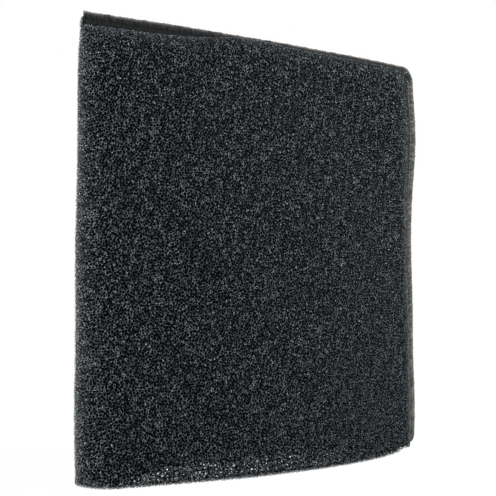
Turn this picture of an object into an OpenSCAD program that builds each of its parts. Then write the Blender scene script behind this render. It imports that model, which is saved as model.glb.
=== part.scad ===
// Open-cell foam filter sleeve: one foam sheet folded over, fused along its end and one side.
// X runs across the flat sleeve, from the fold to the side weld. Y runs through its thickness.
// Z runs up from the open mouth, which is at z = 0, to the fused end.

/* [Sleeve] */
// Width across the flat sleeve, from the outside of the fold to the edge of the side weld
sleeve_w = 180; // [140:1:260]
// Height, from the mouth rim to the edge of the end weld
sleeve_h = 180; // [140:1:260]
// Clear gap between the two walls at the middle of the mouth
mouth_gap = 30; // [14:1:44]
// Corner radius of the mouth rim below the side weld
rim_corner_r = 10; // [5:0.5:14]

/* [Foam] */
// Thickness of the foam sheet
foam_t = 10; // [6:0.5:14]
// Clear gap inside the fold at the mouth
fold_gap = 6; // [2:0.5:10]
// Depth of the crease inside the fold
fold_crease = 1.5; // [1:0.25:4]

/* [Weld] */
// Width of the fused lip
lip_w = 3.5; // [2:0.25:5]
// Thickness of the fused lip
lip_t = 2; // [1.2:0.1:3]
// Outer radius of the corner where the side weld runs into the end weld
lip_corner_r = 6; // [5.5:0.5:12]
// Distance from the lip over which the foam swells to its full thickness
swell_w = 12; // [8:0.5:20]
// Distance that the end weld draws the fold inwards
fold_draw = 3; // [0:0.5:5]
// Slit left between the two walls where they are pressed together
slit = 0.3; // [0.2:0.05:0.6]

/* [Hidden] */

foam_colour = [0.16, 0.18, 0.19];
weld_colour = [0.24, 0.25, 0.25];

// Steps along a wall, over its swell and round the fold
wall_cols = 14;
wall_rows = 9;
swell_steps = 7;
fold_steps = 14;
arc_fn = 96;

// The sheet is folded about x = fold_x, and meets the lips at x = weld_x and z = weld_z.
fold_r = foam_t + fold_crease;
fold_x = -sleeve_w / 2 + fold_r;
weld_x = sleeve_w / 2 - lip_w;
weld_z = sleeve_h - lip_w;
swell_x = weld_x - swell_w;
swell_z = weld_z - swell_w;
corner_in_r = lip_corner_r - lip_w;
rim_corner_x = sleeve_w / 2 - rim_corner_r;
pinched_t = lip_t / 2 - slit / 2;
crown = mouth_gap / 2 - fold_gap / 4 - slit / 2;

// Height of a circle of radius r at a distance s from its centre line
function arc_height(r, s) = sqrt(max(0, r * r - s * s));

// Lowest and highest point of a wall at x
function rim_z(x) =
    x > rim_corner_x ? rim_corner_r - arc_height(rim_corner_r, x - rim_corner_x) : 0;
function top_z(x) =
    let (s = x - (weld_x - corner_in_r))
    s > 0 ? weld_z - corner_in_r + arc_height(corner_in_r, s) : weld_z;

// Distance from the fused lip, round its corner too
function lip_distance(x, z) =
    let (a = weld_x - x, b = weld_z - z, r = corner_in_r)
    max(0, a < r && b < r ? r - norm([r - a, r - b]) : min(a, b));

// 0 at the lip and 1 where the foam has its full thickness, along a quarter circle
function swell(d) = arc_height(1, 1 - min(1, d / swell_w));
function wall_t(x, z) = pinched_t + (foam_t - pinched_t) * swell(lip_distance(x, z));

// How far the mouth's opening reaches up the sleeve, and half the gap between the walls
function opening(z) = cos(90 * z / weld_z);
function half_gap(x, z) =
    let (u = (x - fold_x) / (weld_x - fold_x))
    slit / 2 + opening(z) * (fold_gap / 2 * (1 - u) + crown * sin(180 * u));

// Columns and rows, closer together where the foam swells
col_x = concat(
    [for (i = [0:wall_cols - 1]) fold_x + (swell_x - fold_x) * i / wall_cols],
    [for (i = [0:swell_steps]) weld_x - swell_w * (1 - sin(90 * i / swell_steps))]
);
function row_z(x) = concat(
    [for (j = [0:wall_rows - 1]) rim_z(x) + (swell_z - rim_z(x)) * j / wall_rows],
    [for (j = [0:swell_steps]) top_z(x) - (top_z(x) - swell_z) * (1 - sin(90 * j / swell_steps))]
);

// Outer and inner face of the front wall
wall_outside = [
    for (x = col_x) [for (z = row_z(x)) [x, -half_gap(x, z) - wall_t(x, z), z]]
];
wall_inside = [for (x = col_x) [for (z = row_z(x)) [x, -half_gap(x, z), z]]];

// A half ring round the fold line, with half axes of rx(z) and ry(z)
fold_angles = [for (i = [0:fold_steps]) 180 * i / fold_steps - 90];
function drawn_in(z) = fold_draw * (1 - swell(weld_z - z));
fold_outside = [
    for (a = fold_angles) [
        for (z = row_z(fold_x)) [
            fold_x - (fold_r - drawn_in(z)) * cos(a),
            (half_gap(fold_x, z) + wall_t(fold_x, z)) * sin(a),
            z
        ]
    ]
];
fold_inside = [
    for (a = fold_angles) [
        for (z = row_z(fold_x)) [fold_x - fold_crease * cos(a), half_gap(fold_x, z) * sin(a), z]
    ]
];

// A closed slab between two grids of points that have the same rows and columns
module slab(outside, inside) {
    cols = len(outside);
    rows = len(outside[0]);
    back = cols * rows;
    function at(i, j) = i * rows + j;
    function quad(a, b, c, d) = [[a, b, c], [a, c, d]];
    skin = [
        for (i = [0:cols - 2], j = [0:rows - 2])
            each quad(at(i, j), at(i, j + 1), at(i + 1, j + 1), at(i + 1, j))
    ];
    lining = [for (f = skin) [back + f[2], back + f[1], back + f[0]]];
    ring = concat(
        [for (i = [0:cols - 1]) at(i, 0)],
        [for (j = [1:rows - 1]) at(cols - 1, j)],
        [for (i = [cols - 2:-1:0]) at(i, rows - 1)],
        [for (j = [rows - 2:-1:1]) at(0, j)]
    );
    edge = [
        for (k = [0:len(ring) - 1])
            let (a = ring[k], b = ring[(k + 1) % len(ring)])
                each quad(a, b, back + b, back + a)
    ];
    polyhedron(
        points = concat([for (c = outside) each c], [for (c = inside) each c]),
        faces = concat(skin, lining, edge)
    );
}

module front_wall() {
    color(foam_colour) slab(wall_outside, wall_inside);
}

module rear_wall() {
    color(foam_colour) mirror([0, 1, 0]) slab(wall_outside, wall_inside);
}

module folded_edge() {
    color(foam_colour) slab(fold_outside, fold_inside);
}

// What a round corner of radius r takes off a square corner at the origin
module corner_cut(r) {
    difference() {
        translate([-r, -r]) square(2 * r);
        translate([-r, -r]) circle(r, $fn = arc_fn);
    }
}

// Flat outline of the sleeve, drawn with its height up the page
module flat_outline() {
    left = -sleeve_w / 2 + fold_draw;
    difference() {
        translate([left, 0]) square([sleeve_w / 2 - left, sleeve_h]);
        translate([sleeve_w / 2, sleeve_h]) corner_cut(lip_corner_r);
        translate([sleeve_w / 2, 0]) mirror([0, 1]) corner_cut(rim_corner_r);
    }
}

// The part of that outline that lies inside the fused lip
module inside_lip() {
    left = -sleeve_w / 2;
    difference() {
        translate([left, 0]) square([weld_x - left, weld_z]);
        translate([weld_x, weld_z]) corner_cut(corner_in_r);
    }
}

// The fused lip between two heights
module lip(low, high) {
    translate([0, lip_t / 2, 0]) rotate([90, 0, 0]) linear_extrude(lip_t) {
        intersection() {
            difference() {
                flat_outline();
                inside_lip();
            }
            translate([-sleeve_w, low]) square([2 * sleeve_w, high - low]);
        }
    }
}

module end_weld() {
    color(weld_colour) lip(sleeve_h - lip_corner_r, sleeve_h);
}

module side_weld() {
    color(weld_colour) lip(0, sleeve_h - lip_corner_r);
}

front_wall();
rear_wall();
folded_edge();
end_weld();
side_weld();
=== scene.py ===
import math
from itertools import combinations
import bpy
import numpy as np
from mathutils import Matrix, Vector


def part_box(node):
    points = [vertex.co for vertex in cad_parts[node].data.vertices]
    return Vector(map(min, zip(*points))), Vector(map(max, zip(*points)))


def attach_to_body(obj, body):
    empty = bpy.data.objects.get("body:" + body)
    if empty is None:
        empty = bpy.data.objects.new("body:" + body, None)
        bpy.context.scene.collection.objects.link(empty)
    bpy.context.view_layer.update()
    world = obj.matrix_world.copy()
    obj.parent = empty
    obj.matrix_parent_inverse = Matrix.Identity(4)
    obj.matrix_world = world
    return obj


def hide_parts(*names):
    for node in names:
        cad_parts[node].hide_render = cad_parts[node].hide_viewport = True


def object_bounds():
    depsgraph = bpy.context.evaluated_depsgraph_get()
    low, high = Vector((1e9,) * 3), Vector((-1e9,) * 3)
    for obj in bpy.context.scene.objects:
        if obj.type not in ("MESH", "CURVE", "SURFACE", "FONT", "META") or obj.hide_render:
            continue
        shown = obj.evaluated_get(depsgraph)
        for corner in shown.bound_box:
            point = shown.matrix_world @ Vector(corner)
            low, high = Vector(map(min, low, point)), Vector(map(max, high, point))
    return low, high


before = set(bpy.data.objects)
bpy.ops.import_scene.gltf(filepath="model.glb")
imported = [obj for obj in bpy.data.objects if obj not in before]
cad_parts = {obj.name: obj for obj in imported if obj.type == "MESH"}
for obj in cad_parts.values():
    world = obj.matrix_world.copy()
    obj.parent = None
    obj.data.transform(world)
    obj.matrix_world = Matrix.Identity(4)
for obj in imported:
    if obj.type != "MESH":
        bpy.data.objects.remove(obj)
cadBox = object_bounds()

mm = 0.001
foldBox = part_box("folded_edge")
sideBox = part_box("side_weld")

# the sleeve stands on its open mouth: fold at -X, side weld at +X, end weld on top
sleeve = {
    "halfWide": cadBox[1][0],
    "foldLine": foldBox[1][0],
    "foldReach": foldBox[1][0] - foldBox[0][0] + 0.6 * mm,
    "weldLine": sideBox[0][0],
    "weldTop": foldBox[1][2],
    "foam": 10 * mm,
    "pinched": 0.85 * mm,
    "slit": 0.3 * mm,
    "mouthGap": 30 * mm,
    "foldGap": 6 * mm,
    "swell": 12 * mm,
    "draw": 3 * mm,
    "lip": 3.5 * mm,
    "lipCorner": 7 * mm,
}


# short ways to add one shader node and join it up
def attach(tree, value, socket):
    # value is another node's output to link, or a plain value to set
    if isinstance(value, bpy.types.NodeSocket):
        tree.links.new(value, socket)
    else:
        socket.default_value = value


def mathNode(tree, operation, first, second):
    node = tree.nodes.new("ShaderNodeMath")
    node.operation = operation
    attach(tree, first, node.inputs[0])
    attach(tree, second, node.inputs[1])
    return node.outputs[0]


def vectorNode(tree, operation, first, second, slot=1):
    node = tree.nodes.new("ShaderNodeVectorMath")
    node.operation = operation
    attach(tree, first, node.inputs[0])
    attach(tree, second, node.inputs[slot])
    return node.outputs[0]


def rangeNode(tree, value, start, end, low=0.0, high=1.0, kind="LINEAR"):
    # low where the value is at start or under it, high from end on, and a ramp between them
    node = tree.nodes.new("ShaderNodeMapRange")
    node.interpolation_type = kind
    names = ("Value", "From Min", "From Max", "To Min", "To Max")
    for name, given in zip(names, (value, start, end, low, high)):
        attach(tree, given, node.inputs[name])
    return node.outputs[0]


def noiseNode(tree, place, scale, detail=2.0):
    node = tree.nodes.new("ShaderNodeTexNoise")
    node.inputs["Detail"].default_value = detail
    attach(tree, place, node.inputs["Vector"])
    attach(tree, scale, node.inputs["Scale"])
    return node.outputs["Fac"]


def mixColour(tree, factor, first, second):
    node = tree.nodes.new("ShaderNodeMix")
    node.data_type = "RGBA"
    attach(tree, factor, node.inputs["Factor"])
    attach(tree, first, node.inputs["A"])
    attach(tree, second, node.inputs["B"])
    return node.outputs["Result"]


def bumpNode(tree, height, distance):
    node = tree.nodes.new("ShaderNodeBump")
    node.inputs["Distance"].default_value = distance
    attach(tree, height, node.inputs["Height"])
    return node.outputs[0]


def objectPlace(tree):
    return tree.nodes.new("ShaderNodeTexCoord").outputs["Object"]


def mapPlace(tree, name):
    node = tree.nodes.new("ShaderNodeUVMap")
    node.uv_map = name
    return node.outputs["UV"]


def axesOf(tree, place):
    node = tree.nodes.new("ShaderNodeSeparateXYZ")
    attach(tree, place, node.inputs[0])
    return node.outputs


def newMaterial(name, plain, rough, shine):
    material = bpy.data.materials.new(name)
    material.use_nodes = True
    tree = material.node_tree
    body = tree.nodes["Principled BSDF"]
    body.inputs["Base Color"].default_value = plain
    body.inputs["Roughness"].default_value = rough
    body.inputs["Specular IOR Level"].default_value = shine
    return material, tree, body


# camera, floor and light
camera = {
    "turn": -39.06,
    "away": 481.2 * mm,
    "height": 76.4 * mm,
    "lens": 81.55,
    "shift": (-0.0355, 0.0738),
    "nearest": 10 * mm,
}
lamps = {
    "keyLight": {"at": (0.85, -0.58, 0.9), "size": 0.10, "power": 29},
    "fillLight": {"at": (-1.2, -0.2, 0.5), "size": 0.3, "power": 10},
    "backLight": {"at": (-1.0, 0.7, 0.5), "size": 0.5, "power": 22},
}
lampAim = (0, 0, 0.09)
studio = {
    "ambient": 0.14,
    "glowNear": 0.96,
    "glowFar": 1.0,
    "nearTo": 0.2,
    "farFrom": 0.7,
    "floorColour": (0.9, 0.9, 0.9, 1),
    "floorRough": 0.9,
    "floorHalf": 4,
    "floorDrop": 0.3 * mm,
}


def setCamera():
    data = bpy.data.cameras.new("camera")
    ob = bpy.data.objects.new("camera", data)
    away = camera["away"]
    turn = math.radians(camera["turn"])
    ob.location = (away * math.sin(turn), -away * math.cos(turn), camera["height"])
    ob.rotation_euler = (math.pi / 2, 0, turn)
    data.lens = camera["lens"]
    data.shift_x, data.shift_y = camera["shift"]
    data.clip_start = camera["nearest"]
    bpy.context.scene.collection.objects.link(ob)
    bpy.context.scene.camera = ob


def softLamp(name, lamp):
    data = bpy.data.lights.new(name, "AREA")
    data.size = lamp["size"]
    data.energy = lamp["power"]
    ob = bpy.data.objects.new(name, data)
    ob.location = lamp["at"]
    ob.rotation_euler = (Vector(lampAim) - Vector(lamp["at"])).to_track_quat("-Z", "Y").to_euler()
    bpy.context.scene.collection.objects.link(ob)


def seenRays(tree):
    # 1 for what the camera sees directly, in a reflection or through glass
    path = tree.nodes.new("ShaderNodeLightPath").outputs
    mirrored = mathNode(tree, "MAXIMUM", path["Is Camera Ray"], path["Is Glossy Ray"])
    return mathNode(tree, "MAXIMUM", mirrored, path["Is Transmission Ray"])


def setWorld():
    # white for the camera, and only a soft light on the sleeve
    world = bpy.data.worlds.new("studio")
    bpy.context.scene.world = world
    world.use_nodes = True
    tree = world.node_tree
    sky = tree.nodes["Background"]
    sky.inputs["Color"].default_value = (1, 1, 1, 1)
    level = rangeNode(tree, seenRays(tree), 0.0, 1.0, studio["ambient"], 1.0)
    attach(tree, level, sky.inputs["Strength"])


def setFloor():
    # a pale floor that fades into the white around it, and keeps the shadow of the sleeve
    half = studio["floorHalf"]
    mesh = bpy.data.meshes.new("floor")
    corners = [(-half, -half, 0), (half, -half, 0), (half, half, 0), (-half, half, 0)]
    mesh.from_pydata(corners, [], [(0, 1, 2, 3)])
    floor = bpy.data.objects.new("floor", mesh)
    floor.location.z = -studio["floorDrop"]
    bpy.context.scene.collection.objects.link(floor)
    paper, tree, body = newMaterial("paleFloor", studio["floorColour"], studio["floorRough"], 0.0)
    away = tree.nodes.new("ShaderNodeVectorMath")
    away.operation = "LENGTH"
    attach(tree, objectPlace(tree), away.inputs[0])
    glowAt = rangeNode(tree, away.outputs["Value"], studio["nearTo"], studio["farFrom"],
                       studio["glowNear"], studio["glowFar"])
    glow = tree.nodes.new("ShaderNodeEmission")
    glow.inputs["Strength"].default_value = 1.0
    mix = tree.nodes.new("ShaderNodeMixShader")
    attach(tree, mathNode(tree, "MULTIPLY", seenRays(tree), glowAt), mix.inputs[0])
    attach(tree, body.outputs[0], mix.inputs[1])
    attach(tree, glow.outputs[0], mix.inputs[2])
    attach(tree, mix.outputs[0], tree.nodes["Material Output"].inputs["Surface"])
    mesh.materials.append(paper)


setCamera()
setWorld()
setFloor()
for name, lamp in lamps.items():
    softLamp(name, lamp)
bpy.context.scene.view_settings.view_transform = "Standard"
print("camera, floor and lights set", flush=True)


# the sheet of foam, folded at -X and welded along the top and the other side
def quarterArc(a, b):
    return 0.5 * math.pi * math.sqrt((a * a + b * b) / 2)


def smooth(a, b, v):
    t = np.clip((v - a) / (b - a), 0, 1)
    return t * t * (3 - 2 * t)


swellRise = sleeve["foam"] - sleeve["pinched"]
swellArc = quarterArc(sleeve["swell"], swellRise)
flatRun = sleeve["weldLine"] - sleeve["swell"] - sleeve["foldLine"]
foldArc = quarterArc(sleeve["foldReach"], sleeve["foam"] + sleeve["foldGap"] / 2)
halfRun = swellArc + flatRun + foldArc
sheetWide = 2 * halfRun
plainTall = sleeve["weldTop"] - sleeve["swell"]
sheetTall = plainTall + swellArc

# how far the free foam rolls over the welded lip, along the top and down the side,
# the bulging tip at the top of the fold, and how far the fold leans in above leanFrom
rolled = {
    "topAt": np.array([-90, -75, -60, -43, -31, -18, -3, 10, 80]) * mm,
    "topOver": np.array([-1.6, -1.6, -1.5, -0.9, 0.4, 2.0, 2.4, 1.6, 1.2]) * mm,
    "rearTopOver": 1.6 * mm,
    "sideAt": np.array([0, 8, 45, 57, 75, 105, 116, 165, 175]) * mm,
    "sideOver": np.array([0.2, 0.1, 0.0, 0.3, 0.4, 0.3, -0.1, -0.2, 0.2]) * mm,
    "rearSideOver": 0.5 * mm,
    "sideRun": 22 * mm,
    "sideRound": 1.3,
    "tip": 2.2 * mm,
    "tipWide": 11 * mm,
    "tipCore": 3 * mm,
    "tipPeak": 3.3 * mm,
    "tipTall": 14 * mm,
    "tipFull": 2 * mm,
    "tipThick": 2.2 * mm,
    "tipReach": 2.4 * mm,
    "lean": 0.8 * mm,
    "leanFrom": 125 * mm,
    "leanOver": 50 * mm,
}


def halfGap(x, z):
    # half the gap between the two walls' inner faces: widest at the mouth, a slit at the end weld
    u = np.clip((x - sleeve["foldLine"]) / (sleeve["weldLine"] - sleeve["foldLine"]), 0, 1)
    crown = sleeve["mouthGap"] / 2 - sleeve["foldGap"] / 4 - sleeve["slit"] / 2
    gape = np.cos(0.5 * np.pi * np.clip(z / sleeve["weldTop"], 0, 1))
    return sleeve["slit"] / 2 + gape * (sleeve["foldGap"] / 2 * (1 - u) + crown * np.sin(np.pi * u))


def sheetPlace(p, q):
    # where a point of the outer face lies, and how thick the sheet is there: p across it, q up it
    side = np.where(p < halfRun, -1.0, 1.0)
    front = side < 0
    run = np.minimum(p, sheetWide - p)
    across = np.clip(run / rolled["sideRun"], 0, 1)
    bend = np.clip((run - swellArc - flatRun) / foldArc, 0, 1) * 0.5 * np.pi
    up = np.clip((sheetTall - q) / swellArc, 0, 1) * 0.5 * np.pi
    flatFrom = sleeve["weldLine"] - sleeve["swell"] + swellArc
    straight = np.maximum(flatFrom - run, sleeve["foldLine"])
    sideWide = sleeve["weldLine"] - flatFrom + rolled["sideRun"]
    frontOver = np.interp(q, rolled["sideAt"], rolled["sideOver"])
    sideOver = np.where(front, frontOver, rolled["rearSideOver"])
    swelling = sleeve["weldLine"] - sideWide * across + sideOver * (1 - across) ** 2
    x = np.where(across < 1, swelling, straight)
    frontOver = np.interp(x, rolled["topAt"], rolled["topOver"])
    topOver = np.where(front, frontOver, rolled["rearTopOver"])
    crest = plainTall + (sleeve["swell"] + topOver) * np.cos(up)
    z = np.where(q < plainTall, q, crest) + np.maximum(q - sheetTall, 0)
    bulb = smooth(rolled["tipWide"], rolled["tipCore"], np.abs(p - halfRun))
    bulb = bulb * smooth(sheetTall - rolled["tipTall"], sheetTall - rolled["tipFull"], q)
    rise = np.sin(0.5 * np.pi * across) ** rolled["sideRound"] * np.sin(up)
    thick = sleeve["pinched"] + swellRise * rise + rolled["tipThick"] * bulb
    y = side * (halfGap(x, z) + thick) * np.cos(bend)
    lean = rolled["lean"] * np.clip((z - rolled["leanFrom"]) / rolled["leanOver"], 0, 1) ** 2
    drawn = sleeve["draw"] * (1 - np.sin(up)) + lean
    reach = sleeve["foldReach"] - drawn + rolled["tipReach"] * bulb
    return np.stack([x - reach * np.sin(bend), y, z], -1), thick


def squeeze(thick):
    # what is left of a depth where the sheet is thin and the foam pressed together
    least, slope = 0.2, 2.6
    return np.clip(thick / sleeve["foam"] * slope, least, 1)


def inSheet(p, q, d):
    # a point at depth d under the outer face, with the foam squeezed where the sheet is thin
    nudge = 0.05 * mm
    at, thick = sheetPlace(p, q)
    along = sheetPlace(p + nudge, q)[0] - sheetPlace(p - nudge, q)[0]
    above = sheetPlace(p, q + nudge)[0] - sheetPlace(p, q - nudge)[0]
    n = np.cross(above, along)
    n /= np.maximum(np.linalg.norm(n, axis=-1, keepdims=True), 1e-12)
    return at - n * (d * squeeze(thick))[..., None]


anyPhase = 6.28


def waves(at, lengths, seed):
    # a smooth random displacement made of plane waves
    rng = np.random.default_rng(seed)
    out = np.zeros_like(at)
    for length in lengths:
        way = rng.normal(size=3)
        way *= 2 * np.pi / length / np.linalg.norm(way)
        push = rng.normal(size=3)
        out += np.sin(at @ way + rng.uniform(0, anyPhase))[..., None] * push / np.linalg.norm(push)
    return out / math.sqrt(len(lengths))


# side bulges are given by their size, and their height and span as shares of the weld's height
limp = {
    "wave": 0.45 * mm,
    "lengths": [60 * mm, 85 * mm, 110 * mm, 45 * mm],
    "seed": 4,
    "topRise": 1.0 * mm,
    "sideBulges": ((3.0 * mm, 0.84, 0.13), (1.3 * mm, 0.13, 0.11)),
    "belly": 2.5 * mm,
    "standing": 0.1,
}


def slump(at):
    # the soft sleeve's slight unevenness, the same for every piece
    out = at + waves(at, limp["lengths"], limp["seed"]) * limp["wave"]
    u = np.clip(at[..., 0] / sleeve["halfWide"], -1, 1)
    v = np.clip(at[..., 2] / sleeve["weldTop"], 0, 1)
    out[..., 2] += limp["topRise"] * (1 - u * u) * v ** 3
    for bulge, height, span in limp["sideBulges"]:
        out[..., 0] += bulge * np.clip(u, 0, 1) ** 3 * np.exp(-((v - height) / span) ** 2)
    out[..., 1] += np.sign(at[..., 1]) * limp["belly"] * (1 - u * u) * (1 - v) ** 2
    out[..., 2] = np.where(v < limp["standing"], np.maximum(out[..., 2], 0), out[..., 2])
    return out


# the mouth's rim turns up at its corner, by the side weld
rimCorner = {
    "away": np.array([0, 10, 20, 24, 28, 33, 38]) * mm,
    "lift": np.array([0.8, 1.1, 1.8, 1.3, 0.6, 0.2, 0.0]) * mm,
}


def rimHeight(p):
    return np.interp(np.minimum(p, sheetWide - p), rimCorner["away"], rimCorner["lift"])


# the foam itself: strands meeting four at a time round uneven cells
cells = {
    "spacing": 1.15 * mm,
    "inTile": 180,
    "seed": 5,
    "evenness": 1.07,
    "warp": 0.05 * mm,
    "warpLengths": [5 * mm, 7 * mm, 9 * mm],
    "warpSeed": 11,
    "tilt": (0.61, 0.37, 0.52),
    "strand": 0.12 * mm,
    "strandSeed": 3,
    "thinnest": 0.88,
    "thickest": 1.14,
    "skin": 1.05 * mm,
    "foldSkin": 1.15 * mm,
    "belowRim": 0.5 * mm,
    "sole": 0.8 * mm,
    "soleSlope": 1.4 * mm,
    "soleSlopeDeep": 3.5 * mm,
    "liningTall": 22 * mm,
    "lining": 0.7 * mm,
}
# the open inside of the sheet, where light gets through: close to the mouth, and round the fold
openFoam = {
    "spacing": 2.1 * mm,
    "tilt": (0.23, 0.81, 0.34),
    "strand": 0.21 * mm,
    "tall": 8.5 * mm,
    "tallAtEnds": 1.5 * mm,
    "foldEnd": (8 * mm, -14 * mm),
    "weldEnd": (30 * mm, 75 * mm),
    "ragged": 2.2 * mm,
    "foldDeep": 2.8 * mm,
    "foldSpacing": 1.5 * mm,
    "foldTilt": (0.71, 0.29, 0.44),
    "foldStrand": 0.09 * mm,
    "foldThin": 0.15,
    # painted light at the fold: the share of the painted depth shade taken off there
    "foldLight": 0.3,
}
# where the strands of the open inside start in the finer ones, as shares of those,
# and how far they reach past the front of the dark depths
overlap = {
    "sole": 0.6,
    "skin": 0.8,
    "lining": 0.6,
    "rim": 0.5 * mm,
    "fold": 0.4 * mm,
    "foldLeast": 0.3 * mm,
}
# where each change at the fold starts and is full, as shares of the fold's half width
foldShares = {
    "skin": (0.8, 0.1),
    "deep": (1.0, 0.25),
    "thin": (0.8, 0.25),
    # where the painted light at the fold starts and is full
    "light": (0.9, 0.3),
}


def nearFold(p, change):
    # 0 away from the fold, rising to 1 in its middle
    return smooth(*foldShares[change], np.abs(p - halfRun) / foldArc)


def skinDepth(p):
    return cells["skin"] + (cells["foldSkin"] - cells["skin"]) * nearFold(p, "skin")


def coreDepth(p):
    # the dark slab of painted shade starts right under the skin, and further in at the fold, where
    # light gets through
    return skinDepth(p) + (openFoam["foldDeep"] - cells["foldSkin"]) * nearFold(p, "deep")


def openTall(p):
    # the light comes through the middle of each wall, and not at the fold or the weld
    run = np.minimum(p, sheetWide - p)
    bendAt = halfRun - foldArc
    past, before = openFoam["foldEnd"]
    ends = smooth(bendAt + past, bendAt + before, run) * smooth(*openFoam["weldEnd"], run)
    return openFoam["tallAtEnds"] + (openFoam["tall"] - openFoam["tallAtEnds"]) * ends


# how the cells of a tile are pushed apart, how many neighbours of a cell are looked at and how far
# away, and how many times the strands' nodes are evened out
packing = {
    "rounds": 160,
    "push": 0.25,
    "near": 44,
    "ahead": 40,
    "farthest": 1.5,
    "flattest": 1e-4,
    "evened": 6,
}


def spreadCells(side):
    # cell centres in a repeating cube, random and pushed apart until they lie about evenly
    count = cells["inTile"]
    rng = np.random.default_rng(cells["seed"])
    seeds = rng.uniform(0, side, (count, 3))
    for step in range(packing["rounds"]):
        gap = seeds[:, None] - seeds[None]
        gap -= side * np.round(gap / side)
        far = np.linalg.norm(gap, axis=2) + 1e-9
        np.fill_diagonal(far, 9)
        push = np.maximum(0, cells["evenness"] - far) / far
        seeds = (seeds + packing["push"] * (gap * push[..., None]).sum(1)) % side
    return seeds


def cellCorners(seeds, side):
    # the places where four cells meet, each with its cells and the copies of the tile they are in
    count = len(seeds)
    shifts = np.array(list(np.ndindex(3, 3, 3))) - 1
    copies = (seeds[None] + shifts[:, None] * side).reshape(-1, 3)
    owner = np.tile(np.arange(count), len(shifts))
    block = np.repeat(shifts, count, 0)
    corners, places = [], []
    for i in range(count):
        away = copies - seeds[i]
        near = np.argsort((away ** 2).sum(1))[1:packing["near"] + 1]
        ahead = near[owner[near] > i][:packing["ahead"]]
        n = len(ahead)
        if n < 3:
            continue
        trio = np.array(list(combinations(range(n), 3)))
        m = away[ahead][trio]
        ok = np.abs(np.linalg.det(m)) > packing["flattest"]
        trio, m = trio[ok], m[ok]
        centre = np.linalg.solve(m, 0.5 * (m ** 2).sum(2)[..., None])[..., 0]
        reach = (centre ** 2).sum(1)
        ok = reach < packing["farthest"]
        trio, centre, reach = trio[ok], centre[ok], reach[ok]
        gaps = ((centre[:, None] - away[near][None]) ** 2).sum(2)
        empty = (gaps >= reach[:, None] - 1e-7).all(1)
        for t, c in zip(trio[empty], centre[empty]):
            others = [(int(owner[ahead[k]]), tuple(block[ahead[k]])) for k in t]
            corners.append([(i, (0, 0, 0))] + others)
            places.append(seeds[i] + c)
    return corners, np.array(places)


def cornerLinks(corners):
    # each corner's four neighbours share three of its cells: their numbers, and the tiles they are in
    faces = {}
    for n, corner in enumerate(corners):
        for left in range(4):
            three = sorted(corner[k] for k in range(4) if k != left)
            home = np.array(three[0][1])
            key = tuple((s, *(np.array(o) - home)) for s, o in three)
            faces.setdefault(key, []).append((n, left, home))
    near = np.zeros((len(corners), 4, 4), int)
    for (n, a, homeN), (m, b, homeM) in faces.values():
        near[n, a] = (m, *(homeN - homeM))
        near[m, b] = (n, *(homeM - homeN))
    return near


def foamTile():
    # one repeating block of random foam: its nodes, and each node's four neighbours
    side = cells["inTile"] ** (1 / 3)
    corners, places = cellCorners(spreadCells(side), side)
    near = cornerLinks(corners)
    for step in range(packing["evened"]):
        mean = (places[near[:, :, 0]] + near[:, :, 1:] * side).mean(1)
        places += 0.5 * (mean - places)
    return places / side, near, side


def fineParts(p, q, d):
    # the outer skin, the sole round the mouth and the lining inside it
    tip = rolled["tip"] * smooth(rolled["tipWide"], rolled["tipPeak"], np.abs(p - halfRun))
    inside = (p > 0) & (p < sheetWide) & (q > -cells["belowRim"]) & (q < sheetTall + tip)
    inside &= (d > 0) & (d < sleeve["foam"])
    lining = (d > sleeve["foam"] - cells["lining"]) & (q < cells["liningTall"])
    sole = q < cells["sole"] + cells["soleSlope"] * np.clip(1 - d / cells["soleSlopeDeep"], 0, 1)
    return inside & ((d < skinDepth(p)) | sole | lining)


def rimParts(p, q, d):
    # the inside of the sheet close to the mouth
    inside = (p > 0) & (p < sheetWide) & (q > overlap["sole"] * cells["sole"]) & (q < sheetTall)
    inside &= d > overlap["skin"] * skinDepth(p)
    inside &= d < sleeve["foam"] - overlap["lining"] * cells["lining"]
    return inside & (q < openTall(p) + openFoam["ragged"] + overlap["rim"])


def foldParts(p, q, d):
    # the inside of the sheet round the fold
    deep = coreDepth(p)
    inside = (q > overlap["sole"] * cells["sole"]) & (q < sheetTall)
    inside &= (d > overlap["skin"] * skinDepth(p)) & (d < deep + overlap["fold"])
    return inside & (deep > skinDepth(p) + overlap["foldLeast"])


tile = foamTile()
print("foam tile made,", len(tile[0]), "nodes", flush=True)


def turned(a, b, c):
    rx = np.array([[1, 0, 0], [0, math.cos(a), -math.sin(a)], [0, math.sin(a), math.cos(a)]])
    ry = np.array([[math.cos(b), 0, math.sin(b)], [0, 1, 0], [-math.sin(b), 0, math.cos(b)]])
    rz = np.array([[math.cos(c), -math.sin(c), 0], [math.sin(c), math.cos(c), 0], [0, 0, 1]])
    return rz @ ry @ rx


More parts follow.
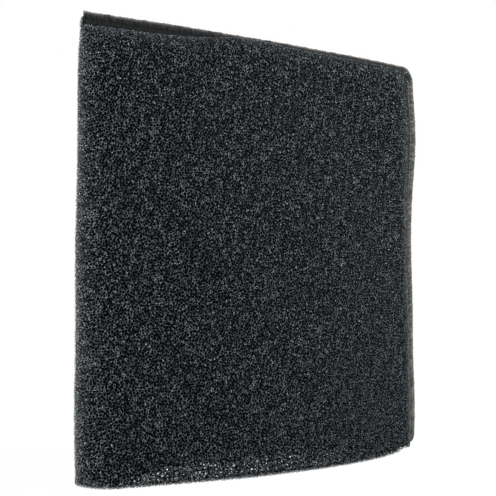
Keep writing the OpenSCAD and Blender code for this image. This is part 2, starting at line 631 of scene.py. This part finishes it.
def fillSheet(spacing, parts, tilt):
    # the nodes in the chosen parts of the sheet, and each one's four neighbours, -1 for none
    atOnce = 400
    halfDiagonal = 0.87
    kinds, near, side = tile
    side = side * spacing
    basis = turned(*tilt) * side
    inverse = np.linalg.inv(basis)
    size = np.array([sheetWide, sheetTall, sleeve["foam"]])
    corners = np.array(list(np.ndindex(2, 2, 2))) * size @ inverse.T
    first = np.floor(corners.min(0)).astype(int) - 2
    last = np.ceil(corners.max(0)).astype(int) + 2
    steps = [np.arange(a, b) for a, b in zip(first, last)]
    blocks = np.stack([g.ravel() for g in np.meshgrid(*steps, indexing="ij")], 1)
    middle = (blocks + 0.5) @ basis.T
    reach = halfDiagonal * side
    blocks = blocks[(middle > -reach).all(1) & (middle < size + reach).all(1)]
    span = (last - first + 5).astype(np.int64)
    m = len(kinds)

    def key(block, kind):
        b = block.astype(np.int64) - first + 2
        return ((b[:, 0] * span[1] + b[:, 1]) * span[2] + b[:, 2]) * m + kind

    at, block, kind = [], [], []
    for some in np.array_split(blocks, max(1, len(blocks) // atOnce)):
        b = np.repeat(some, m, 0)
        k = np.tile(np.arange(m), len(some))
        place = (b + kinds[k]) @ basis.T
        place += waves(place, cells["warpLengths"], cells["warpSeed"]) * cells["warp"]
        keep = parts(place[:, 0], place[:, 1], place[:, 2])
        at.append(place[keep])
        block.append(b[keep])
        kind.append(k[keep])
    at, block, kind = np.concatenate(at), np.concatenate(block), np.concatenate(kind)
    keys = key(block, kind)
    order = np.argsort(keys)
    at, block, kind, keys = at[order], block[order], kind[order], keys[order]
    links = np.empty((len(at), 4), np.int64)
    for s in range(4):
        other = near[kind, s]
        k = key(block + other[:, 1:], other[:, 0])
        spot = np.searchsorted(keys, k).clip(0, len(keys) - 1)
        links[:, s] = np.where(keys[spot] == k, spot, -1)
    return at, links


def meshObject(name, verts, quads, tris):
    mesh = bpy.data.meshes.new(name)
    mesh.vertices.add(len(verts))
    mesh.vertices.foreach_set("co", verts.astype(np.float32).ravel())
    loops = np.concatenate([quads.ravel(), tris.ravel()]).astype(np.int32)
    mesh.loops.add(len(loops))
    mesh.loops.foreach_set("vertex_index", loops)
    starts = np.concatenate([np.arange(len(quads)) * 4, len(quads) * 4 + np.arange(len(tris)) * 3])
    mesh.polygons.add(len(starts))
    mesh.polygons.foreach_set("loop_start", starts.astype(np.int32))
    mesh.update(calc_edges=True)
    mesh.polygons.foreach_set("use_smooth", np.full(len(starts), True))
    ob = bpy.data.objects.new(name, mesh)
    bpy.context.scene.collection.objects.link(ob)
    return ob


def strandMesh(name, places, links, thick, chosen):
    # a small four-cornered knot at each node, and a three-sided strand to each chosen neighbour
    nodes = np.flatnonzero(chosen.any(1))
    index = np.full(len(places), -1)
    index[nodes] = np.arange(len(nodes))
    links, chosen = links[nodes], chosen[nodes]
    ways = places[links] - places[nodes][:, None]
    ways /= np.maximum(np.linalg.norm(ways, axis=2, keepdims=True), 1e-12)
    tips = places[nodes][:, None] - thick[nodes][:, None, None] * ways
    verts = tips.reshape(-1, 3)
    rows = np.arange(len(nodes))
    corner = np.empty((len(nodes), 4, 3), np.int64)
    for s in range(4):
        a, b, c = [k for k in range(4) if k != s]
        facing = np.cross(tips[:, b] - tips[:, a], tips[:, c] - tips[:, a])
        flip = np.einsum("ij,ij->i", facing, ways[:, s]) < 0
        corner[:, s, 0] = rows * 4 + a
        corner[:, s, 1] = rows * 4 + np.where(flip, c, b)
        corner[:, s, 2] = rows * 4 + np.where(flip, b, c)
    row, slot = np.nonzero(chosen)
    once = nodes[row] < links[row, slot]
    row, slot = row[once], slot[once]
    other = index[links[row, slot]]
    back = np.argmax(links[other] == nodes[row][:, None], 1)
    near = corner[row, slot]
    far = corner[other, back][:, ::-1]
    # of the three ways to join two ends, the one that twists the strand least
    tries = [verts[near] - verts[np.roll(far, -s, 1)] for s in range(3)]
    twist = np.stack([(gap ** 2).sum((1, 2)) for gap in tries], 1).argmin(1)
    far = far[np.arange(len(far))[:, None], (np.arange(3)[None] + twist[:, None]) % 3]
    sides = [np.stack([near[:, k], near[:, j], far[:, j], far[:, k]], 1)
             for k, j in ((0, 1), (1, 2), (2, 0))]
    return meshObject(name, verts, np.concatenate(sides), corner[~chosen]), np.repeat(nodes, 4)


def addMap(ob, name, uv):
    # uv holds one pair for each vertex
    layer = ob.data.uv_layers.new(name=name, do_init=False)
    loops = np.empty(len(ob.data.loops), np.int32)
    ob.data.loops.foreach_get("vertex_index", loops)
    layer.uv.foreach_set("vector", uv[loops].astype(np.float32).ravel())


def addStrandMap(ob, across, up, deep):
    # lengths of the strip side by side, and its outer, middle and deep strands one above another
    lengths, bands, bandDeep = 5, 3, 0.33 * mm
    edgeAcross, edgeUp = 0.03, 0.02
    loops = np.empty(len(ob.data.loops), np.int32)
    ob.data.loops.foreach_get("vertex_index", loops)
    starts = np.empty(len(ob.data.polygons), np.int32)
    ob.data.polygons.foreach_get("loop_start", starts)
    sizes = np.diff(np.append(starts, len(loops)))

    def middle(v):
        return np.repeat(np.add.reduceat(v[loops], starts) / sizes, sizes)

    part = np.clip(np.floor(lengths * middle(up)), 0, lengths - 1)
    band = np.clip(np.floor(middle(deep) / bandDeep), 0, bands - 1)
    u = (part + edgeAcross + (1 - 2 * edgeAcross) * np.clip(across[loops], 0, 1)) / lengths
    v = (band + edgeUp + (1 - 2 * edgeUp) * np.clip(lengths * up[loops] - part, 0, 1)) / bands
    layer = ob.data.uv_layers.new(name="OFBake", do_init=False)
    layer.uv.foreach_set("vector", np.stack([u, v], 1).astype(np.float32).ravel())


def dress(ob, material, slot, *nodes):
    ob.data.materials.append(material)
    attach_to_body(ob, "root")
    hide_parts(*nodes)


# the welded lip: its section, and its run from the fold along the top, round the corner and down
lip = {
    "step": 0.35 * mm,
    "start": -88.8 * mm,
    "out": np.array([-2.4, -1.6, -0.8, -0.2, 0.2, 0.6, 1.0, 1.4,
                     1.8, 2.2, 2.6, 2.9, 3.15, 3.35, 3.5]) * mm,
    "half": np.array([1.0, 1.0, 1.0, 0.94, 0.84, 0.88, 0.94, 0.95,
                      0.93, 0.88, 0.80, 0.78, 0.72, 0.5, 0.0]) * mm,
    "creases": [0.9 * mm, 1.3 * mm, 1.9 * mm, 2.9 * mm],
    "creaseDeep": 0.10 * mm,
    "dimples": [0.8 * mm, 1.1 * mm],
    "dimpleDeep": 0.04 * mm,
    "frays": [1.7 * mm, 2.9 * mm, 5.3 * mm, 9.1 * mm],
    "frayed": 0.12 * mm,
    "foot": 1.6 * mm,
    "footRound": 5.4 * mm,
    "creaseSeed": 21,
    "dimpleSeed": 22,
    "fraySeed": 23,
    "wrinkledIn": 0.2 * mm,
    "wrinkledOver": 1.2 * mm,
    "thinEdge": 0.1 * mm,
}
lipBend = sleeve["halfWide"] - sleeve["lipCorner"]
topRun = lipBend - lip["start"]
turnRun = 0.5 * math.pi * sleeve["lipCorner"]
bendTop = sleeve["weldTop"] + sleeve["lip"] - sleeve["lipCorner"]
sideRun = bendTop - lip["foot"]


# finishes
def newGroup(name, given, *results):
    # a shared effect: its inputs with their usual values, and its outputs with their kinds
    tree = bpy.data.node_groups.new(name, "ShaderNodeTree")
    for socket, value in given.items():
        kind = "NodeSocketColor" if isinstance(value, tuple) else "NodeSocketFloat"
        made = tree.interface.new_socket(name=socket, in_out="INPUT", socket_type=kind)
        made.default_value = value
    for socket, kind in results:
        tree.interface.new_socket(name=socket, in_out="OUTPUT", socket_type=kind)
    return tree, tree.nodes.new("NodeGroupInput").outputs, tree.nodes.new("NodeGroupOutput").inputs


def groupNode(tree, group, **values):
    node = tree.nodes.new("ShaderNodeGroup")
    node.node_tree = group
    for name, value in values.items():
        node.inputs[name].default_value = value
    return node.outputs


def cellTone():
    # a tone that changes from strand to strand, with slow cloudy patches over it
    look = {
        "stretch": (1, 0.15, 1),
        "spread": (0.38, 0.66),
        "steep": 2.0,
        "clouds": 45,
        "cloudy": (0.3, 0.7, 0.96, 1.04),
    }
    given = {"Deep": (0.03, 0.03, 0.03, 1), "Lit": (0.1, 0.1, 0.1, 1), "Grain": 900.0}
    tree, inp, out = newGroup("cellTone", given, ("Color", "NodeSocketColor"))
    place = vectorNode(tree, "MULTIPLY", objectPlace(tree), look["stretch"])
    spread = rangeNode(tree, noiseNode(tree, place, inp["Grain"], 0.0), *look["spread"])
    patch = rangeNode(tree, noiseNode(tree, place, look["clouds"]), *look["cloudy"])
    level = mathNode(tree, "MULTIPLY", mathNode(tree, "POWER", spread, look["steep"]), patch)
    attach(tree, mixColour(tree, level, inp["Deep"], inp["Lit"]), out["Color"])
    return tree


def pressedShade():
    # painted shade: a level that darkens the colour deeper in the foam, and close to the side weld
    # and the end weld
    welds = (("X", sleeve["weldLine"], 15 * mm, "Side"),
             ("Z", sleeve["weldTop"] + 1 * mm, 4 * mm, "Top"))
    given = {"Side": 0.6, "Top": 0.8, "From": 0.2, "To": 1.0, "Under": 0.2}
    tree, inp, out = newGroup("pressedShade", given, ("Level", "NodeSocketFloat"))
    place = axesOf(tree, objectPlace(tree))
    # painted shade close to each weld, down to that weld's dark level
    levels = [rangeNode(tree, place[axis], edge - reach, edge, 1.0, inp[dark], "SMOOTHSTEP")
              for axis, edge, reach, dark in welds]
    # painted shade deeper in the foam, read from the deepness map
    depth = axesOf(tree, mapPlace(tree, "deepness"))["X"]
    fade = rangeNode(tree, depth, inp["From"], inp["To"], 1.0, inp["Under"])
    attach(tree, mathNode(tree, "MULTIPLY", mathNode(tree, "MINIMUM", *levels), fade), out["Level"])
    return tree


def lipTone():
    # wrinkles along the lip, lighter on their raised ridges, painted shade in the crease at its foot,
    # painted light where it turns round the corner, and a melted line at its edge
    look = {
        "stretch": (1, 0.35, 1),
        "wrinkles": 900,
        "wrinkleDetail": 4,
        "worn": (0.44, 0.6),
        "crease": (0.5 * mm, 3.2 * mm),
        "melted": (sleeve["lip"] - 1.2 * mm, sleeve["lip"] - 0.25 * mm),
        "breaks": 220,
        "broken": (0.34, 0.5),
        "corner": (topRun - 1 * mm, topRun + turnRun),
    }
    given = {
        "Face": (0.01, 0.01, 0.01, 1),
        "Worn": (0.03, 0.03, 0.03, 1),
        "Melted": (0.08, 0.08, 0.08, 1),
        "Crease": 0.3,
        "Corner": 1.0,
    }
    results = (("Color", "NodeSocketColor"), ("Height", "NodeSocketFloat"))
    tree, inp, out = newGroup("lipTone", given, *results)
    place = mapPlace(tree, "lipPlace")
    along, outward = axesOf(tree, place)[:2]
    stretched = vectorNode(tree, "MULTIPLY", place, look["stretch"])
    wrinkle = noiseNode(tree, stretched, look["wrinkles"], look["wrinkleDetail"])
    # lighter on the raised ridges of the wrinkles
    worn = rangeNode(tree, wrinkle, *look["worn"])
    # painted shade: the lip darkens towards its foot, in the crease under the swelling foam
    crease = rangeNode(tree, outward, *look["crease"], inp["Crease"])
    # painted light: the lip lightens where it turns round the corner towards the lit side
    corner = rangeNode(tree, along, *look["corner"], 1.0, inp["Corner"])
    melted = rangeNode(tree, outward, *look["melted"])
    broken = rangeNode(tree, noiseNode(tree, place, look["breaks"]), *look["broken"])
    face = mixColour(tree, worn, inp["Face"], inp["Worn"])
    face = vectorNode(tree, "SCALE", face, mathNode(tree, "MULTIPLY", crease, corner), "Scale")
    edge = mixColour(tree, mathNode(tree, "MULTIPLY", melted, broken), face, inp["Melted"])
    attach(tree, edge, out["Color"])
    attach(tree, wrinkle, out["Height"])
    return tree


cellToneGroup = cellTone()
pressedShadeGroup = pressedShade()
lipToneGroup = lipTone()


def strandFinish():
    look = {"plain": (0.06, 0.071, 0.08, 1), "rough": 0.32, "shine": 0.6}
    tones = {"Deep": (0.016, 0.020, 0.023, 1), "Lit": (0.265, 0.318, 0.356, 1), "Grain": 2400.0}
    # how dark the painted shade gets close to the welds and deep in the foam
    shades = {"Side": 0.65, "Top": 0.85, "From": 0.15, "To": 0.75, "Under": 0.03}
    material, tree, body = newMaterial("foamStrands", look["plain"], look["rough"], look["shine"])
    tone = groupNode(tree, cellToneGroup, **tones)["Color"]
    # painted shade: the strands' colour and shine darken deeper in the foam and close to the welds
    level = groupNode(tree, pressedShadeGroup, **shades)["Level"]
    shine = mathNode(tree, "MULTIPLY", level, look["shine"])
    attach(tree, vectorNode(tree, "SCALE", tone, level, "Scale"), body.inputs["Base Color"])
    attach(tree, shine, body.inputs["Specular IOR Level"])
    return material


def innerFinish():
    # the strands inside the sheet, close to the mouth, in painted shade: a much darker copy of the
    # outer strands' tones
    look = {"plain": (0.012, 0.014, 0.016, 1), "rough": 0.7, "shine": 0.1}
    tones = {"Deep": (0.004, 0.005, 0.006, 1), "Lit": (0.026, 0.030, 0.034, 1), "Grain": 700.0}
    material, tree, body = newMaterial("foamInside", look["plain"], look["rough"], look["shine"])
    attach(tree, groupNode(tree, cellToneGroup, **tones)["Color"], body.inputs["Base Color"])
    return material


def coreFinish():
    # painted shade: the foam's depths as a very dark slab with faint painted strands, standing in for
    # the shaded foam deeper in
    look = {
        "plain": (0.005, 0.006, 0.007, 1),
        "rough": 0.9,
        "shine": 0.02,
        "deep": (0.0012, 0.0016, 0.002, 1),
        "lit": (0.010, 0.012, 0.014, 1),
        "cell": 1.2 * mm,
        "edge": (0.02, 0.22, 1.0, 0.0),
        "raised": 0.4 * mm,
    }
    material, tree, body = newMaterial("foamDepths", look["plain"], look["rough"], look["shine"])
    cell = tree.nodes.new("ShaderNodeTexVoronoi")
    cell.feature = "DISTANCE_TO_EDGE"
    cell.inputs["Scale"].default_value = 1 / look["cell"]
    attach(tree, objectPlace(tree), cell.inputs["Vector"])
    # faint painted strands in shade, lighter at the cells' edges
    edge = rangeNode(tree, cell.outputs["Distance"], *look["edge"])
    attach(tree, mixColour(tree, edge, look["deep"], look["lit"]), body.inputs["Base Color"])
    attach(tree, bumpNode(tree, edge, look["raised"]), body.inputs["Normal"])
    return material


def lipFinish(name, look):
    # foam crushed and fused by the weld
    material, tree, body = newMaterial(name, look["plain"], look["rough"], look["shine"])
    tones = {name: look[name.lower()] for name in ("Face", "Worn", "Melted", "Crease", "Corner")}
    tone = groupNode(tree, lipToneGroup, **tones)
    attach(tree, tone["Color"], body.inputs["Base Color"])
    attach(tree, bumpNode(tree, tone["Height"], look["raised"]), body.inputs["Normal"])
    return material


endWeldLook = {
    "plain": (0.018, 0.019, 0.02, 1),
    "rough": 0.8,
    "shine": 0.08,
    "face": (0.012, 0.013, 0.014, 1),
    "worn": (0.034, 0.036, 0.037, 1),
    "melted": (0.16, 0.147, 0.136, 1),
    # how much of its colour the lip keeps at its foot, under the painted crease shade
    "crease": 0.25,
    # painted light: how many times lighter the lip gets round the corner
    "corner": 3.4,
    "raised": 0.12 * mm,
}
# painted light: a lighter copy of the end weld's finish for the side lip, which faces the light
sideWeldLook = {
    "plain": (0.08, 0.079, 0.076, 1),
    "rough": 0.8,
    "shine": 0.1,
    "face": (0.048, 0.049, 0.048, 1),
    "worn": (0.155, 0.150, 0.143, 1),
    "melted": (0.15, 0.14, 0.135, 1),
    # how much of its colour the lip keeps at its foot, under the painted crease shade
    "crease": 0.55,
    "corner": 1.0,
    "raised": 0.12 * mm,
}

strands = strandFinish()
inner = innerFinish()
depths = coreFinish()
endWeld = lipFinish("endWeld", endWeldLook)
sideWeld = lipFinish("sideWeld", sideWeldLook)
print("finishes made", flush=True)


# the strand pieces, in upright strips that are each easy to handle
def grown(spacing, parts, tilt, strand):
    # one filling of the sheet: its nodes, their places, links and thicknesses
    at, links = fillSheet(spacing, parts, tilt)
    places = slump(inSheet(at[:, 0], at[:, 1], at[:, 2]))
    alive = places[:, 2] >= rimHeight(at[:, 0])
    linked = (links >= 0) & alive[links] & alive[:, None]
    links = np.where(links >= 0, links, 0)
    rng = np.random.default_rng(cells["strandSeed"])
    thick = strand * rng.uniform(cells["thinnest"], cells["thickest"], len(at))
    return at, places, links, linked, thick


def makeStrips(filling, zones):
    # each zone is cut into strips with the same number of strands and no more faces than mostFaces
    facesPerLink, mostFaces = 3.3, 190000
    at, places, links, linked, thick = filling
    mid = 0.5 * (at[:, :1] + at[links, 0])
    total = 0
    for zone, a, b, node, material in zones:
        mine = linked & (mid >= a) & (mid < b)
        spread = np.sort(mid[mine])
        strips = math.ceil(len(spread) * facesPerLink / mostFaces)
        cuts = [a] + [spread[int(len(spread) * k / strips)] for k in range(1, strips)] + [b]
        for k in range(strips):
            chosen = mine & (mid >= cuts[k]) & (mid < cuts[k + 1])
            ob, own = strandMesh("%s%d" % (zone, k + 1), places, links, thick, chosen)
            p, q, d = at[own].T
            up = q / q.max()
            # how deep each strand lies, which sets its painted depth shade
            deep = np.minimum(np.minimum(d, sleeve["foam"] - d), np.maximum(q, 0))
            addStrandMap(ob, (p - cuts[k]) / (cuts[k + 1] - cuts[k]), up, deep)
            # painted light at the fold: its strands get less of the painted depth shade
            light = 1 - openFoam["foldLight"] * nearFold(p, "light")
            addMap(ob, "deepness", np.stack([deep * light / mm, 0 * up], 1))
            dress(ob, material, "foam", node)
            faces = len(ob.data.loops) - 2 * len(ob.data.polygons)
            total += faces
            print(ob.name, faces, "faces", flush=True)
    return total


def makeFoam():
    a, b = halfRun - foldArc, halfRun + foldArc
    fine = grown(cells["spacing"], fineParts, cells["tilt"], cells["strand"])
    fine[4][:] *= 1 - openFoam["foldThin"] * nearFold(fine[0][:, 0], "thin")
    total = makeStrips(fine, (("frontFoam", 0, a, "front_wall", strands),
                              ("foldFoam", a, b, "folded_edge", strands),
                              ("rearFoam", b, sheetWide, "rear_wall", strands)))
    rim = grown(openFoam["spacing"], rimParts, openFoam["tilt"], openFoam["strand"])
    # the open inside near the mouth gets the painted-shade finish
    total += makeStrips(rim, (("frontRim", 0, a, "front_wall", inner),
                              ("foldRim", a, b, "folded_edge", inner),
                              ("rearRim", b, sheetWide, "rear_wall", inner)))
    bend = grown(openFoam["foldSpacing"], foldParts, openFoam["foldTilt"], openFoam["foldStrand"])
    total += makeStrips(bend, (("foldInside", a, b, "folded_edge", strands),))
    print("strands made,", total, "faces", flush=True)


makeFoam()


# a dark slab of painted shade behind the strands, for the foam deeper in, ragged where the open rim
# begins
core = {
    "step": 1.2 * mm,
    "seed": 12,
    "mostRagged": 0.8,
    "belowTop": 0.4 * mm,
    "behind": 0.15 * mm,
    "liningFade": 4 * mm,
    "ofSheet": 0.97,
    "leastThick": 1.05,
}


def slabBetween(name, outside, inside):
    rows, cols = outside.shape[:2]
    grid = np.arange(rows * cols).reshape(rows, cols)
    quads = np.stack([grid[:-1, :-1], grid[:-1, 1:], grid[1:, 1:], grid[1:, :-1]], -1)
    quads = quads.reshape(-1, 4)
    ring = np.concatenate([grid[0, :-1], grid[:-1, -1], grid[-1, :0:-1], grid[:0:-1, 0]])
    after = np.roll(ring, -1)
    rim = np.stack([after, ring, ring + rows * cols, after + rows * cols], 1)
    verts = np.concatenate([outside.reshape(-1, 3), inside.reshape(-1, 3)])
    quads = np.concatenate([quads, quads[:, ::-1] + rows * cols, rim])
    return meshObject(name, verts, quads, np.zeros((0, 3), int))


def makeDepths():
    rng = np.random.default_rng(core["seed"])
    zones = (("frontCore", 0, halfRun - foldArc, "front_wall"),
             ("foldCore", halfRun - foldArc, halfRun + foldArc, "folded_edge"),
             ("rearCore", halfRun + foldArc, sheetWide, "rear_wall"))
    for name, a, b, node in zones:
        line = np.linspace(a, b, int((b - a) / core["step"]) + 2)
        shares = np.linspace(0, 1, int(sheetTall / core["step"]))
        p, share = np.meshgrid(line, shares, indexing="ij")
        ragged = np.minimum(openFoam["ragged"], core["mostRagged"] * openTall(line))
        start = openTall(line) + ragged * rng.uniform(-1, 1, len(line))
        start[[0, -1]] = openTall(line[[0, -1]])
        start += rimHeight(line)
        q = start[:, None] + share * (sheetTall - core["belowTop"] - start[:, None])
        skin = coreDepth(p)
        outside = slump(inSheet(p, q, skin))
        thick = sheetPlace(p, q)[1]
        lined = smooth(cells["liningTall"] + core["liningFade"], cells["liningTall"], q)
        deep = sleeve["foam"] - core["behind"] - (cells["lining"] - core["behind"]) * lined
        deep = np.minimum(deep, core["ofSheet"] * thick / squeeze(thick))
        inside = slump(inSheet(p, q, np.maximum(deep, skin * core["leastThick"])))
        ob = slabBetween(name, outside, inside)
        dress(ob, depths, "foam", node)
    print("depths made", flush=True)


makeDepths()


# the welded lip along the end and down the side
def hum(s, lengths, seed):
    # an uneven wave along a line, from about -1 to 1
    rng = np.random.default_rng(seed)
    total = sum(np.sin(2 * np.pi * s / length + rng.uniform(0, anyPhase)) for length in lengths)
    return total / math.sqrt(len(lengths))


def makeLip(name, node, finish, first, last):
    # first and last are lengths along the lip's outer edge, from the fold round to the mouth
    n = len(lip["out"])
    s = np.linspace(first, last, int((last - first) / lip["step"]) + 1)[:, None]
    out = np.concatenate([lip["out"], lip["out"][-2::-1]])[None]
    half = np.concatenate([lip["half"], lip["half"][-2::-1]])[None]
    side = np.where(np.arange(2 * n - 1) < n, -1.0, 1.0)[None]
    # the wrinkles start where the lip comes out of the foam, and stop short of its thin edge
    bite = np.clip((out + lip["wrinkledIn"]) / lip["wrinkledOver"], 0, 1) * (half > lip["thinEdge"])
    creases = lip["creaseDeep"] * hum(s + 3 * side * mm, lip["creases"], lip["creaseSeed"])
    slanted = s * 1.7 + out * 2.3 + side * mm
    dimples = lip["dimpleDeep"] * hum(slanted, lip["dimples"], lip["dimpleSeed"])
    half = half + (creases + dimples) * bite
    frayed = lip["frayed"] * hum(s, lip["frays"], lip["fraySeed"])
    frayed = frayed * np.clip(out / sleeve["lip"], 0, 1) ** 2
    # along the top, round the corner and down to a rounded foot
    a = np.clip((s - topRun) / turnRun, 0, 1) * 0.5 * math.pi
    r = sleeve["lipCorner"] - sleeve["lip"] + out + frayed
    x = np.minimum(s, topRun) + lip["start"] + r * np.sin(a)
    share = np.maximum(out, 0) / sleeve["lip"]
    foot = lip["foot"] + lip["footRound"] * (1 - np.sqrt(np.clip(1 - share ** 2, 0, 1)))
    down = np.maximum(s - topRun - turnRun, 0) / sideRun
    z = bendTop + r * np.cos(a) - down * (bendTop - foot)
    at = slump(np.stack([x, side * half, z], -1))
    rows, cols = at.shape[:2]
    grid = np.arange(rows * cols).reshape(rows, cols)
    wrap = np.concatenate([grid, grid[:, :1]], 1)
    quads = np.stack([wrap[:-1, :-1], wrap[1:, :-1], wrap[1:, 1:], wrap[:-1, 1:]], -1)
    quads = [quads.reshape(-1, 4)]
    tips = []
    k = np.arange(n - 2)
    for row, way in ((grid[0], 1), (grid[-1], -1)):
        cap = np.stack([row[k], row[k + 1], row[cols - 2 - k], row[cols - 1 - k]], 1)
        quads.append(cap[:, ::way])
        tips.append(row[n - 2:n + 1][::way])
    ob = meshObject(name, at.reshape(-1, 3), np.concatenate(quads), np.array(tips))
    addMap(ob, "lipPlace", np.stack(np.broadcast_arrays(s, out), -1).reshape(-1, 2))
    dress(ob, finish, "welded_foam", node)


makeLip("endLip", "end_weld", endWeld, 0, topRun + turnRun)
# the side lip in the painted-light copy of the weld finish
makeLip("sideLip", "side_weld", sideWeld, topRun + turnRun, topRun + turnRun + sideRun)
print("welded lip made", flush=True)
